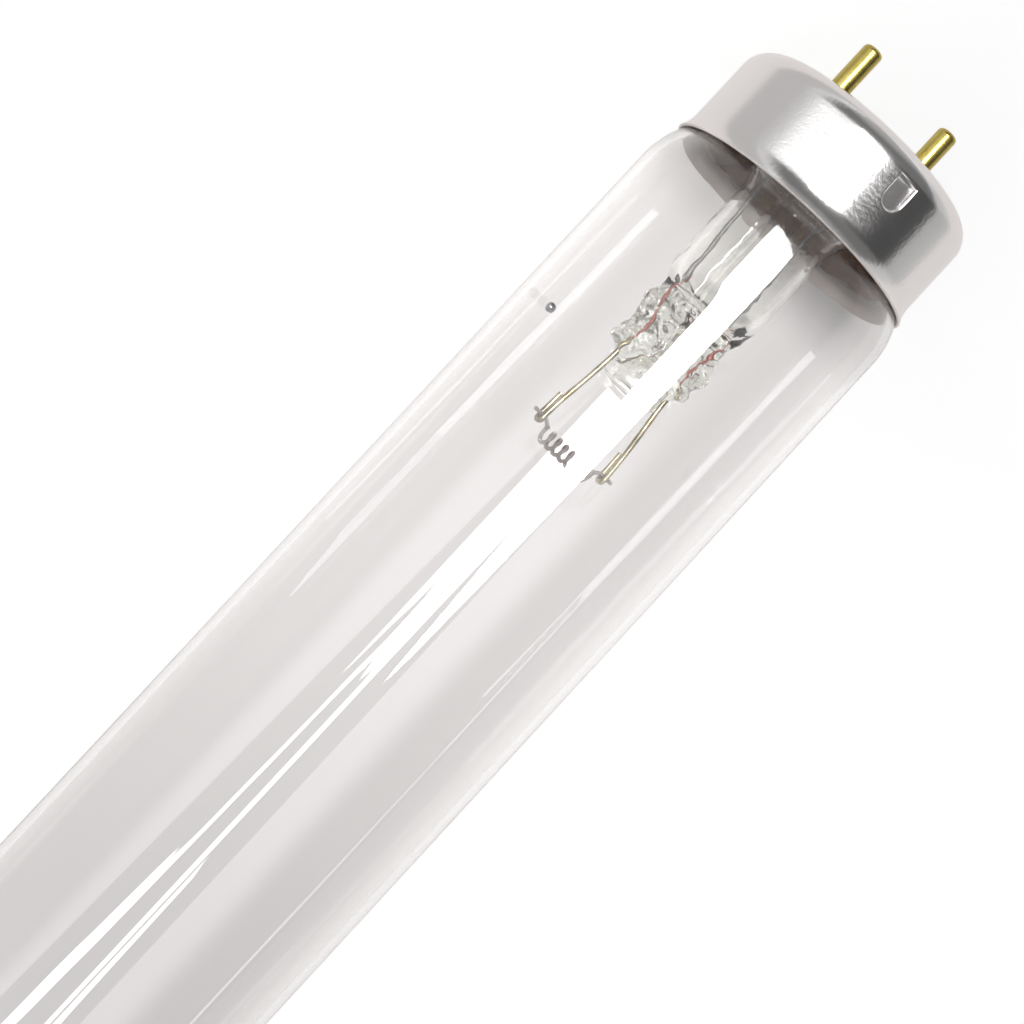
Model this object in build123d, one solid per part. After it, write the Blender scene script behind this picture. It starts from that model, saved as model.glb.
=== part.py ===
from build123d import *
import math
import os

# Clear glass discharge tube with a two-pin metal cap at each end.
# The tube lies along X, the contact pins of each cap lie along Y, and the origin is the tube's middle.
# One end is modelled and the other is the same end turned half round about Z.
# "Inset" is the distance from a cap's end face towards the middle of the tube. All sizes are millimetres.

# Glass tube
FACE_SPAN = 588.5         # from one cap's end face to the other's
TUBE_OD = 32.5
TUBE_WALL = 0.9
SHOULDER_R = 9.6          # outer rounding where the tube draws in under the cap
NECK_ROOT_R = 1.5         # hollow rounding between the shoulder and the neck
NECK_STEP = 4.05          # how much smaller the neck is, on the radius
NECK_LENGTH = 1.0         # straight neck, down to the seal with the stem

# Cap shell
CAP_WALL = 0.35
CAP_LENGTH = 12.15
CAP_CORNER_R = 2.8        # outer rounding between the end face and the wall
RIM_FLARE = 0.55          # how far the rim opens, on the radius
RIM_FLARE_LENGTH = 2.0
RIM_CLEARANCE = 0.15      # between the rim's inner edge and the glass shoulder
WINDOW_WIDTH = 8.0        # long round-ended window in the end face, round both pins
DENT_LENGTH = 3.7         # punched dents that hold the pin plate in the shell
DENT_WIDTH = 2.6
DENT_DEPTH = 0.75         # at the dent's sharp end, behind the plate
DENT_LIP = 0.2            # at the dent's round end

# Cement between the cap and the glass
CEMENT_THICKNESS = 2.45   # between the neck and the cap's wall
CEMENT_SETBACK = 2.0      # how far the cement stays inside the rim

# Pin plate and contact pins
PLATE_THICKNESS = 2.6
PLATE_CLEARANCE = 0.1     # round the plate's edge, round its boss and behind the dents
BOSS_RECESS = 0.12        # how far the plate's boss stays below the cap's end face
PIN_DIAMETER = 2.35
PIN_SPACING = 12.7
PIN_REACH = 7.3           # from the cap's end face to the pin's tip
PIN_TIP_R = 0.55
PIN_BORE = 1.0
PIN_TIP_WALL = 1.0        # solid end of the hollow pin
PIN_SHANK_D = 2.75        # thicker shank of the pin inside the plate
PIN_CLEARANCE = 0.02      # between a pin's shank and its hole in the plate
RIVET_DIAMETER = 4.2      # flattened inner end that holds the pin in the plate
RIVET_HEIGHT = 0.6

# Stem: flare, tube, press and exhaust mouth, all one piece of glass
STEM_WALL = 0.9
SEAL_LAND = 1.0           # flat ring of the flare outside its rounding
STEM_LENGTH = 15.2        # from the seal to where the press starts to form
TAPER_LENGTH = 4.5
CAVITY_DEPTH = 2.1        # how far the stem's hollow runs into the taper
PRESS_LENGTH = 7.0
PRESS_THICKNESS = 3.4
PRESS_COVER = 1.65        # glass outside each wire, across the press
PRESS_EDGE_R = 1.0
MOUTH_LENGTH = 2.5        # open exhaust mouth beyond the press
MOUTH_WALL = 0.8
MOUTH_ROOT = 2.2          # length over which the mouth opens inside the press
MOUTH_CLEARANCE = 0.15    # between the mouth and the wires beside it
EXHAUST_BORE = 2.0        # bore through the press

# Exhaust tube, sealed off inside the cap
EXHAUST_OD = 4.2
EXHAUST_CLEARANCE = 0.3   # round the tube where the stem's hollow ends
EXHAUST_TIP_GAP = 2.0     # between the pin plate and the tube's sealed tip

# Wires
LEAD_SPACING = 7.75       # between the two wires in the press
MOUNT_OFFSET = 0.7        # the press and its wires sit off the tube's axis, along Y
OUTER_LEAD_D = 0.5        # from the pin to the press; the seal wire has the same diameter
INNER_LEAD_D = 0.65
LEAD_CLEARANCE = 0.1      # between the outer leads and the stem's bore
WIRE_FIT = 0.005          # between a wire and its hole in the press
WELD_SETBACK = 0.9        # outer lead ends this far outside the press
INNER_SEAT = 1.6          # length of the inner lead inside the press
LEAD_END_GAP = 0.3        # between the outer lead's end and the pin's tip wall
LEAD_BEND_R = 2.0
LEAD_STRAIGHT = 0.8       # straight run of a lead outside the rivet and outside the press
LEAD_RUN_IN = 3.0         # outer leads are straight for this far before the stem's tube begins

# Hooks and filament
HOOK_SPACING = 9.85
HOOK_OFFSET = 0.7         # middle of the two hooks, along Y
HOOK_REACH = 11.0         # from the press to the hooks' bend
HOOK_RETURN = 3.0         # length of wire folded back
HOOK_CLEARANCE = 0.08     # round the filament where it passes through the hook
FILAMENT_D = 0.4
COIL_RADIUS = 0.75        # at the middle of the wire
COIL_PITCH = 1.0
COIL_TURNS = 7
COIL_STANDOFF = 0.5       # between the line of the tails and the near side of the coil, along X
TAIL_STUB = 1.2           # filament end outside each hook
TAIL_CURVE = 1.0          # length over which a tail bends into the coil

# Mercury drop clinging to the inside of the tube
DROP_DIAMETER = 1.1
DROP_INSET = 34.5
DROP_ANGLE = 37.0         # degrees round the tube from its lowest line, towards +Y
DROP_GAP = 0.01

# Radii and insets that follow from the sizes above
tube_r = TUBE_OD / 2
neck_r = tube_r - NECK_STEP
cap_inner_r = neck_r + CEMENT_THICKNESS
cap_r = cap_inner_r + CAP_WALL
inner_corner_r = CAP_CORNER_R - CAP_WALL

rim_arc_r = (RIM_FLARE_LENGTH**2 + RIM_FLARE**2) / (2 * RIM_FLARE)
rim_angle = math.asin(RIM_FLARE_LENGTH / rim_arc_r)
rim_start = CAP_LENGTH - RIM_FLARE_LENGTH
rim_inner_inset = CAP_LENGTH + CAP_WALL * math.sin(rim_angle)
rim_inner_r = cap_r + RIM_FLARE - CAP_WALL * math.cos(rim_angle)

rim_drop = max(tube_r - (rim_inner_r - RIM_CLEARANCE), 0)
shoulder_start = rim_inner_inset + math.sqrt(SHOULDER_R**2 - (SHOULDER_R - rim_drop) ** 2)
shoulder_angle = math.acos(1 - NECK_STEP / (SHOULDER_R + NECK_ROOT_R))
neck_start = shoulder_start - (SHOULDER_R + NECK_ROOT_R) * math.sin(shoulder_angle)
seal_inset = neck_start - NECK_LENGTH

plate_back = CAP_WALL + PLATE_THICKNESS
rivet_back = plate_back + RIVET_HEIGHT

outer_lead_r = OUTER_LEAD_D / 2
inner_lead_r = INNER_LEAD_D / 2
filament_r = FILAMENT_D / 2
lead_y = [MOUNT_OFFSET + LEAD_SPACING / 2, MOUNT_OFFSET - LEAD_SPACING / 2]
hook_y = [HOOK_OFFSET + HOOK_SPACING / 2, HOOK_OFFSET - HOOK_SPACING / 2]
pin_y = [PIN_SPACING / 2, -PIN_SPACING / 2]

stem_bore_r = LEAD_SPACING / 2 + MOUNT_OFFSET + outer_lead_r + LEAD_CLEARANCE
stem_r = stem_bore_r + STEM_WALL
flare_r = neck_r - stem_r - SEAL_LAND
tube_inset = seal_inset + flare_r
taper_inset = seal_inset + STEM_LENGTH
cavity_end = taper_inset + CAVITY_DEPTH
press_inset = taper_inset + TAPER_LENGTH
press_end = press_inset + PRESS_LENGTH
press_width = LEAD_SPACING + 2 * PRESS_COVER
mouth_end = press_end + MOUTH_LENGTH
mouth_r = LEAD_SPACING / 2 - inner_lead_r - MOUTH_CLEARANCE
weld_inset = cavity_end - WELD_SETBACK
inner_lead_start = press_end - INNER_SEAT
hook_r = inner_lead_r + filament_r + HOOK_CLEARANCE
hook_inset = press_end + HOOK_REACH - hook_r


def x_at(inset):
    return FACE_SPAN / 2 - inset


def turned(*edges):
    """Solid made by turning a closed outline, drawn as X and radius, about the tube's axis."""
    return revolve(make_face(list(edges)), Axis.X)


def outline(*points):
    """Straight edges through points given as (inset, radius)."""
    return Polyline(*[(x_at(inset), radius) for inset, radius in points]).edges()


def round_edge(centre_inset, centre_r, radius, start, sweep):
    """Arc of an outline; angles in degrees, from +X towards larger radius."""
    return CenterArc((x_at(centre_inset), centre_r), radius, start, sweep)


def rod(inset_from, inset_to, radius, y=0.0):
    """Cylinder along the tube's axis between two insets."""
    base = Plane(origin=(x_at(inset_to), y, 0), x_dir=(0, 1, 0), z_dir=(1, 0, 0))
    return extrude(base * Circle(radius), inset_to - inset_from)


def across(inset, y=0.0):
    """Plane square to the tube's axis whose local x runs along Y, facing the middle of the tube."""
    return Plane(origin=(x_at(inset), y, 0), x_dir=(0, 1, 0), z_dir=(-1, 0, 0))


def shoulder_edges(depth):
    """Shoulder and neck of the glass, seen as a section, at a depth below the outer surface."""
    turn = math.degrees(shoulder_angle)
    centre_r = tube_r - SHOULDER_R
    root_r = neck_r + NECK_ROOT_R
    shoulder = round_edge(shoulder_start, centre_r, SHOULDER_R - depth, 90, -turn)
    root = round_edge(neck_start, root_r, NECK_ROOT_R + depth, 270 - turn, turn)
    neck = outline((neck_start, neck_r - depth), (seal_inset, neck_r - depth))
    return [shoulder, root, *neck]


def glass_tube():
    middle = FACE_SPAN / 2
    inner_r = tube_r - TUBE_WALL
    half = make_face(
        [
            *outline((middle, tube_r), (shoulder_start, tube_r)),
            *shoulder_edges(0),
            *outline((seal_inset, neck_r), (seal_inset, neck_r - TUBE_WALL)),
            *shoulder_edges(TUBE_WALL),
            *outline((shoulder_start, inner_r), (middle, inner_r), (middle, tube_r)),
        ]
    )
    return revolve(half + mirror(half, Plane.YZ), Axis.X)


def glass_end_form():
    """Outer form of the glass under the cap, without its hollow."""
    return turned(
        *shoulder_edges(0),
        *outline((seal_inset, neck_r), (seal_inset, 0), (shoulder_start, 0), (shoulder_start, tube_r)),
    )


def dent_wedge(margin, sink):
    """Block in the shape of a dent: flat end towards the end face, round end towards the rim."""
    start = plate_back + PLATE_CLEARANCE
    half_width = DENT_WIDTH / 2
    round_inset = start + DENT_LENGTH - half_width
    above = cap_r + DENT_DEPTH
    straight = Rectangle(round_inset - start, DENT_WIDTH + 2 * margin)
    straight = Pos(x_at((start + round_inset) / 2), 0) * straight
    footprint = straight + Pos(x_at(round_inset), 0) * Circle(half_width + margin)
    block = extrude(footprint, above)
    floor_edges = Polyline(
        (x_at(start), 0, cap_r - DENT_DEPTH - sink),
        (x_at(start + DENT_LENGTH + margin), 0, cap_r - DENT_LIP - sink),
        (x_at(start + DENT_LENGTH + margin), 0, above),
        (x_at(start), 0, above),
        close=True,
    )
    return block & extrude(make_face(floor_edges), half_width + margin, dir=(0, 1, 0), both=True)


def cap_shell():
    rim_turn = math.degrees(rim_angle)
    rim_centre_r = cap_r + rim_arc_r
    rim_outer_r = cap_r + RIM_FLARE
    corner_r = cap_r - CAP_CORNER_R
    shell = turned(
        *outline((CAP_WALL, 0), (0, 0), (0, corner_r)),
        round_edge(CAP_CORNER_R, corner_r, CAP_CORNER_R, 0, 90),
        *outline((CAP_CORNER_R, cap_r), (rim_start, cap_r)),
        round_edge(rim_start, rim_centre_r, rim_arc_r, 270 - rim_turn, rim_turn),
        *outline((CAP_LENGTH, rim_outer_r), (rim_inner_inset, rim_inner_r)),
        round_edge(rim_start, rim_centre_r, rim_arc_r + CAP_WALL, 270 - rim_turn, rim_turn),
        *outline((rim_start, cap_inner_r), (CAP_CORNER_R, cap_inner_r)),
        round_edge(CAP_CORNER_R, corner_r, inner_corner_r, 0, 90),
        *outline((CAP_WALL, corner_r), (CAP_WALL, 0)),
    )
    shell -= extrude(across(0) * SlotCenterToCenter(PIN_SPACING, WINDOW_WIDTH), CAP_WALL)
    bulge = dent_wedge(CAP_WALL, CAP_WALL) & rod(0, CAP_LENGTH, cap_inner_r + CAP_WALL / 2)
    cut = dent_wedge(0, 0)
    for turn in (0, 180):
        shell += bulge.rotate(Axis.X, turn)
        shell -= cut.rotate(Axis.X, turn)
    return shell


def pin_plate():
    plate_r = cap_inner_r - PLATE_CLEARANCE
    edge_r = plate_r - inner_corner_r
    deep = CAP_LENGTH
    inside_form = turned(
        *outline((CAP_WALL, 0), (CAP_WALL, edge_r)),
        round_edge(CAP_CORNER_R, edge_r, inner_corner_r, 0, 90),
        *outline((CAP_CORNER_R, plate_r), (deep, plate_r), (deep, 0), (CAP_WALL, 0)),
    )
    plate = inside_form & rod(CAP_WALL, plate_back, cap_r)
    boss = SlotCenterToCenter(PIN_SPACING, WINDOW_WIDTH - 2 * PLATE_CLEARANCE)
    plate += extrude(across(BOSS_RECESS) * boss, plate_back - BOSS_RECESS)
    for y in pin_y:
        plate -= rod(0, plate_back, PIN_SHANK_D / 2 + PIN_CLEARANCE, y)
    return plate


def contact_pin(y):
    pin_r = PIN_DIAMETER / 2
    tip_r = pin_r - PIN_TIP_R
    shank_r = PIN_SHANK_D / 2
    rivet_r = RIVET_DIAMETER / 2
    bore_r = PIN_BORE / 2
    bore_end = PIN_TIP_WALL - PIN_REACH
    pin = turned(
        *outline((bore_end, 0), (-PIN_REACH, 0), (-PIN_REACH, tip_r)),
        round_edge(PIN_TIP_R - PIN_REACH, tip_r, PIN_TIP_R, 0, 90),
        *outline((PIN_TIP_R - PIN_REACH, pin_r), (BOSS_RECESS, pin_r), (BOSS_RECESS, shank_r)),
        *outline((BOSS_RECESS, shank_r), (plate_back, shank_r), (plate_back, rivet_r)),
        *outline((plate_back, rivet_r), (rivet_back, rivet_r), (rivet_back, bore_r)),
        *outline((rivet_back, bore_r), (bore_end, bore_r), (bore_end, 0)),
    )
    return Pos(0, y, 0) * pin


def cap_cement(shell):
    ring = rod(seal_inset, CAP_LENGTH - CEMENT_SETBACK, cap_inner_r) - glass_end_form()
    return ring - shell


def quartered(radius):
    """Circle drawn as four arcs, so that each one lofts to one side of the press."""
    arcs = [CenterArc((0, 0), radius, start, 90) for start in (-45, 45, 135, 225)]
    return make_face(arcs)


def stem():
    outer_flare_r = tube_inset - seal_inset
    centre_r = stem_r + outer_flare_r
    air_face = seal_inset - STEM_WALL
    flare = turned(
        *outline((taper_inset, stem_r), (tube_inset, stem_r)),
        round_edge(tube_inset, centre_r, outer_flare_r, 270, 90),
        *outline((seal_inset, centre_r), (seal_inset, neck_r), (air_face, neck_r), (air_face, centre_r)),
        round_edge(tube_inset, centre_r, outer_flare_r + STEM_WALL, 270, 90),
        *outline((tube_inset, stem_bore_r), (taper_inset, stem_bore_r), (taper_inset, stem_r)),
    )
    press_section = SlotOverall(press_width, PRESS_THICKNESS)
    taper = loft([across(taper_inset) * quartered(stem_r), across(press_inset, MOUNT_OFFSET) * press_section])
    press = extrude(across(press_inset, MOUNT_OFFSET) * press_section, PRESS_LENGTH)
    end_edges = press.faces().sort_by(Axis.X)[0].edges()
    press = fillet(end_edges, min(PRESS_EDGE_R, 0.45 * PRESS_THICKNESS))
    mouth_form = turned(
        *outline(
            (press_end - MOUTH_ROOT, 0),
            (press_end - MOUTH_ROOT, PRESS_THICKNESS / 2),
            (press_end, mouth_r),
            (mouth_end, mouth_r),
            (mouth_end, 0),
            (press_end - MOUTH_ROOT, 0),
        )
    )
    mouth_hollow = turned(
        *outline(
            (press_end - MOUTH_ROOT, 0),
            (press_end - MOUTH_ROOT, EXHAUST_BORE / 2),
            (press_end, mouth_r - MOUTH_WALL),
            (mouth_end, mouth_r - MOUTH_WALL),
            (mouth_end, 0),
            (press_end - MOUTH_ROOT, 0),
        )
    )
    hollow_width = LEAD_SPACING + OUTER_LEAD_D + 2 * LEAD_CLEARANCE
    hollow_section = SlotOverall(hollow_width, EXHAUST_OD + 2 * EXHAUST_CLEARANCE)
    hollow = loft(
        [across(taper_inset) * quartered(stem_bore_r), across(cavity_end, MOUNT_OFFSET) * hollow_section]
    )
    to_press = Pos(0, MOUNT_OFFSET, 0)
    body = flare + (taper + press + to_press * mouth_form - hollow)
    body -= to_press * mouth_hollow
    body -= rod(cavity_end, press_end, EXHAUST_BORE / 2, MOUNT_OFFSET)
    for y in lead_y:
        body -= rod(cavity_end, inner_lead_start, outer_lead_r + WIRE_FIT, y)
        body -= rod(inner_lead_start, press_end, inner_lead_r + WIRE_FIT, y)
    return body


def exhaust_tube():
    outer_r = EXHAUST_OD / 2
    bore_r = EXHAUST_BORE / 2
    tip = plate_back + EXHAUST_TIP_GAP
    body = turned(
        round_edge(tip + outer_r, 0, outer_r, 0, 90),
        *outline((tip + outer_r, outer_r), (cavity_end, outer_r), (cavity_end, bore_r)),
        *outline((cavity_end, bore_r), (tip + outer_r, bore_r)),
        round_edge(tip + outer_r, 0, bore_r, 0, 90),
        *outline((tip + outer_r - bore_r, 0), (tip, 0)),
    )
    return Pos(0, MOUNT_OFFSET, 0) * body


def wire(path, radius):
    """Round wire along a path, square to the path at its start."""
    start = Plane(origin=path @ 0, z_dir=path % 0)
    return sweep(start * Circle(radius), path=path)


def outer_lead(pin_at, lead_at):
    route = FilletPolyline(
        (x_at(PIN_TIP_WALL + LEAD_END_GAP - PIN_REACH), pin_at, 0),
        (x_at(rivet_back + LEAD_STRAIGHT), pin_at, 0),
        (x_at(tube_inset - LEAD_RUN_IN), lead_at, 0),
        (x_at(weld_inset), lead_at, 0),
        radius=LEAD_BEND_R,
    )
    return wire(route, outer_lead_r)


def seal_wire(lead_at):
    return rod(weld_inset, inner_lead_start, outer_lead_r, lead_at)


def inner_lead(lead_at, hook_at):
    bend = Vector(x_at(press_end + LEAD_STRAIGHT), lead_at, 0)
    hook = Vector(x_at(hook_inset), hook_at, 0)
    along = (hook - bend).normalized()
    down = Vector(0, 0, -hook_r)
    run = FilletPolyline((x_at(inner_lead_start), lead_at, 0), bend, hook, radius=LEAD_BEND_R)
    fold = ThreePointArc(hook, hook + down + along * hook_r, hook + down * 2)
    back = Line(hook + down * 2, hook + down * 2 - along * HOOK_RETURN)
    return wire(run + fold + back, inner_lead_r)


def filament():
    """Coil with a straight tail through each hook, all one wire."""
    coil_length = COIL_PITCH * COIL_TURNS
    middle_y = (hook_y[0] + hook_y[1]) / 2
    tail_x = x_at(hook_inset)
    coil_axis = Plane(
        origin=(tail_x - COIL_STANDOFF - COIL_RADIUS, middle_y + coil_length / 2, -hook_r),
        x_dir=(1, 0, 0),
        z_dir=(0, -1, 0),
    )
    coil = coil_axis * Helix(COIL_PITCH, coil_length, COIL_RADIUS)
    across_tube = Vector(0, -1, 0)
    to_tails = Vector(COIL_STANDOFF, 0, 0)
    tail_in = coil @ 0 + to_tails - across_tube * TAIL_CURVE
    tail_out = coil @ 1 + to_tails + across_tube * TAIL_CURVE
    path = Wire(
        [
            Line((tail_x, hook_y[0] + TAIL_STUB, -hook_r), tail_in),
            Spline(tail_in, coil @ 0, tangents=[across_tube, coil % 0]),
            coil,
            Spline(coil @ 1, tail_out, tangents=[coil % 1, across_tube]),
            Line(tail_out, (tail_x, hook_y[1] - TAIL_STUB, -hook_r)),
        ]
    )
    return wire(path, filament_r)


def mercury_drop():
    seat_r = tube_r - TUBE_WALL - DROP_DIAMETER / 2 - DROP_GAP
    angle = math.radians(DROP_ANGLE)
    seat = (x_at(DROP_INSET), seat_r * math.sin(angle), -seat_r * math.cos(angle))
    return Pos(*seat) * Sphere(DROP_DIAMETER / 2)


def end_pieces():
    """Every piece of one end, by name."""
    shell = cap_shell()
    pieces = {
        "cap_shell": shell,
        "pin_plate": pin_plate(),
        "cap_cement": cap_cement(shell),
        "stem": stem(),
        "exhaust_tube": exhaust_tube(),
        "filament": filament(),
    }
    for number in (1, 2):
        pin_at, lead_at, hook_at = pin_y[number - 1], lead_y[number - 1], hook_y[number - 1]
        pieces[f"contact_pin_{number}"] = contact_pin(pin_at)
        pieces[f"outer_lead_{number}"] = outer_lead(pin_at, lead_at)
        pieces[f"seal_wire_{number}"] = seal_wire(lead_at)
        pieces[f"inner_lead_{number}"] = inner_lead(lead_at, hook_at)
    return pieces


os.makedirs("parts", exist_ok=True)
export_step(glass_tube(), "parts/glass_tube.step")
export_step(mercury_drop(), "parts/mercury_drop.step")
for name, piece in end_pieces().items():
    export_step(piece, f"parts/{name}_a.step")
    export_step(piece.rotate(Axis.Z, 180), f"parts/{name}_b.step")
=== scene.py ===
import math

import bmesh
import bpy
from mathutils import Matrix, Vector, noise


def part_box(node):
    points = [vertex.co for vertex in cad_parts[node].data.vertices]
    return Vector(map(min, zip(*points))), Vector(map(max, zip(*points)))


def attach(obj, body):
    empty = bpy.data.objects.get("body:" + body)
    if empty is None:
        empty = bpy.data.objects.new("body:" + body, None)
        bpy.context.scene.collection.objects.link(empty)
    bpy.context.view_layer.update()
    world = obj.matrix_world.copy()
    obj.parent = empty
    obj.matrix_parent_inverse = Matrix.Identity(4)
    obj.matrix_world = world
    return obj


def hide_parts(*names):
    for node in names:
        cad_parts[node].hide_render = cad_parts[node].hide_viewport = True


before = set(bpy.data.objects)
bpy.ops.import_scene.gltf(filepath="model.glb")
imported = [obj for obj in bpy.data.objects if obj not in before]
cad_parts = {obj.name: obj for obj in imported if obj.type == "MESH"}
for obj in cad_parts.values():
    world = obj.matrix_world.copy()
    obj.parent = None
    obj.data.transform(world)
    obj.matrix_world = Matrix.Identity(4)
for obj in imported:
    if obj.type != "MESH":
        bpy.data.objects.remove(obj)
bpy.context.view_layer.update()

# Clear glass lamp tube along X with a pin cap at each end; the camera looks down on end a.
# Sizes are millimetres until a point is placed. "Inset" is the distance from a cap's end face
# towards the middle of the tube. End b is end a turned half round about Z.

MM = 0.001
HALF_TURN = Matrix.Rotation(math.pi, 4, "Z")
ENDS = ("a", "b")

# Glass tube
TUBE_WALL = 0.9
SHOULDER_R = 9.6
NECK_ROOT_R = 1.5
NECK_STEP = 4.05
NECK_LENGTH = 1.0
TUBE_STEPS = 192
BODY_SUPPORT = 1.5        # short run that keeps the long wall's shading straight
SEAL_GAP = 0.02

# Cap shell
CAP_WALL = 0.35
CAP_LENGTH = 12.15
CAP_R = 15.0
CAP_CORNER_R = 2.8
RIM_FLARE = 0.55
RIM_FLARE_LENGTH = 2.0
CAP_STEPS = 224
CAP_ROW = 0.45            # spacing of the rows of faces along the cap's wall
RIM_ROUNDING = 0.09
WINDOW_WIDTH = 8.0
WINDOW_RING_R = 10.9      # circle in the end face, just outside the window
PIN_SPACING = 12.7
DENT_START = 3.05
DENT_LENGTH = 3.7
DENT_WIDTH = 2.6
DENT_DEPTH = 0.75
DENT_LIP = 0.2
DENT_EDGE = 0.2
DENT_CUTS = 4
DENT_PATCH = 0.9          # the wall is refined this far round each dent
DENT_CLEAR = 1.0          # and set to its true radius this far

# Contact pins
PIN_R = 1.175
PIN_SHANK_R = 1.375
PIN_REACH = 7.3
PIN_TIP_R = 0.55
PIN_BORE_R = 0.5
PIN_LEAD_SETBACK = 1.3    # the wire in the pin ends this far from its tip
PIN_TIP_WALL = 1.0
BOSS_RECESS = 0.12
PLATE_BACK = 2.95
RIVET_R = 2.1
RIVET_BACK = 3.55
PIN_STEPS = 64

# Cement
CEMENT_SETBACK = 2.0      # how far the cement stays inside the rim
CEMENT_BITE = 0.04        # the cement is bonded, so it reaches this far into the glass
CEMENT_STEPS = 160
CEMENT_ROWS = 8           # rings of faces across the cement's open face
CEMENT_GAP = 0.01
CEMENT_ROUGH = 0.22
CEMENT_GRAIN = 0.45       # lumps per millimetre

# Stem: flare, tube, press and exhaust mouth
STEM_R = 5.825
STEM_WALL = 0.9
SEAL_LAND = 1.0
STEM_LENGTH = 15.2        # from the seal to where the press starts to form
TAPER_LENGTH = 4.5
CAVITY_DEPTH = 2.1
CAVITY_TIP = 0.7          # the hollow runs this far past the exhaust tube's root
CAVITY = (                # how far back from that, half width, half height
    (0.1, 2.60, 2.20),
    (0.3, 3.30, 2.45),
    (0.6, 3.85, 2.85),
    (1.0, 4.25, 3.35),
    (1.5, 4.55, 3.95),
    (2.1, 4.75, 4.45),
    (2.8, 4.87, 4.80),
    (3.6, 4.925, 4.925),
)
PRESS_LENGTH = 7.0
PRESS_HALF = (5.3, 1.8)   # half width, half height
PRESS_TINT_FADE = 0.6     # the pressed glass's tint ends over this length, each way
PRESS_NARROWING = 0.9     # the press's end draws in to the mouth over this length
TAPER_WAIST = 2.6         # half height where the steep part of the taper ends
WAIST_REACH = 1.0         # that part ends this far past the hollow
TAPER_REACH = 2.3         # the taper ends this far inside the press
MOUNT_OFFSET = 0.7        # the stem and its wires sit off the tube's axis, along Y
MOUTH_R = 3.4
MOUTH_WALL = 0.8
MOUTH_BEAD_R = 0.5        # fire-polished bead round the mouth
MOUTH_ROOT = 2.2
MOUTH_COLLAR = 0.75       # the press's end is this much wider than the mouth
MOUTH_SHARE = 0.9         # how much of the mouth's height the press's end reaches
MOUTH_STEP = 0.2          # thickening where the mouth leaves the press
LIP_LENGTH = 0.6
EXHAUST_BORE_R = 1.0
EXHAUST_R = 2.1
EXHAUST_TIP = 4.95
STEM_STEPS = 96
STEM_ROW = 0.24
LUMP_HEIGHT = 0.65
LUMP_SIZE = 1.3
LUMP_START = 0.9          # lumps begin this far into the taper
LUMP_END = 1.2            # and fade out over this last length of the press
BULGES = (                # inset from the press's start, side, height, length
    (3.0, -1, 0.75, 1.5),
    (6.2, 1, 0.7, 1.6),
    (0.8, 1, 0.5, 1.1),
)
BUBBLES = (               # inset from the press's start, y and z from its middle, radius
    (1.2, 4.1, 0.35, 0.30),
    (2.9, 3.2, -0.30, 0.24),
    (3.9, 4.5, 0.10, 0.34),
    (1.7, -3.3, 0.30, 0.30),
    (3.6, -4.4, 0.05, 0.50),
    (5.0, -3.2, -0.25, 0.22),
)

# Wires
LEAD_SPACING = 7.75
HOOK_SPACING = 9.85
HOOK_OFFSET = 0.7
OUTER_LEAD_R = 0.23
SEAL_WIRE_R = 0.17
INNER_LEAD_R = 0.3
WELD_SETBACK = 0.9        # outer lead ends this far outside the press
INNER_SEAT = 1.6          # length of the inner lead inside the press
HOOK_REACH = 11.0         # from the press to the hooks' bend
HOOK_R = 0.605
HOOK_RETURN = 3.0
COIL_R = 0.8
COIL_PITCH = 1.0
COIL_TURNS = 7
COIL_STEPS = 48           # in each turn
COIL_STANDOFF = 0.5
TAIL_STUB = 1.2
TAIL_CURVE = 1.0
TAIL_STEPS = 40
FINE_COIL_R = 0.19        # the filament's wire is itself a fine coil
FINE_WIRE_R = 0.04
FINE_PITCH = 0.12
FINE_POINTS = 9           # points in one turn of the fine coil

# Mercury drop
DROP_R = 0.58
DROP_FLAT = 0.12          # how much of the drop is flattened against the glass
DROP_SQUASH = 0.8         # and how flat that part is

# Measures taken from the frame
face_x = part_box("cap_shell_a")[1].x
tube_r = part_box("glass_tube")[1].y / MM
seal_inset = (face_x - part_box("glass_tube")[1].x) / MM
air_face = (face_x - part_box("stem_a")[1].x) / MM
mouth_end = (face_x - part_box("stem_a")[0].x) / MM

neck_r = tube_r - NECK_STEP
shoulder_angle = math.degrees(math.acos(1 - NECK_STEP / (SHOULDER_R + NECK_ROOT_R)))
neck_start = seal_inset + NECK_LENGTH
shoulder_start = neck_start + (SHOULDER_R + NECK_ROOT_R) * math.sin(math.radians(shoulder_angle))
cement_end = CAP_LENGTH - CEMENT_SETBACK

flare_r = neck_r - STEM_R - SEAL_LAND
flare_centre_r = STEM_R + flare_r
tube_start = seal_inset + flare_r
taper_start = seal_inset + STEM_LENGTH
cavity_end = taper_start + CAVITY_DEPTH
press_start = taper_start + TAPER_LENGTH
press_end = press_start + PRESS_LENGTH
weld_inset = cavity_end - WELD_SETBACK
inner_lead_start = press_end - INNER_SEAT
hook_inset = press_end + HOOK_REACH - HOOK_R
lead_y = (MOUNT_OFFSET + LEAD_SPACING / 2, MOUNT_OFFSET - LEAD_SPACING / 2)
hook_y = (HOOK_OFFSET + HOOK_SPACING / 2, HOOK_OFFSET - HOOK_SPACING / 2)
pin_y = (PIN_SPACING / 2, -PIN_SPACING / 2)


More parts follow.
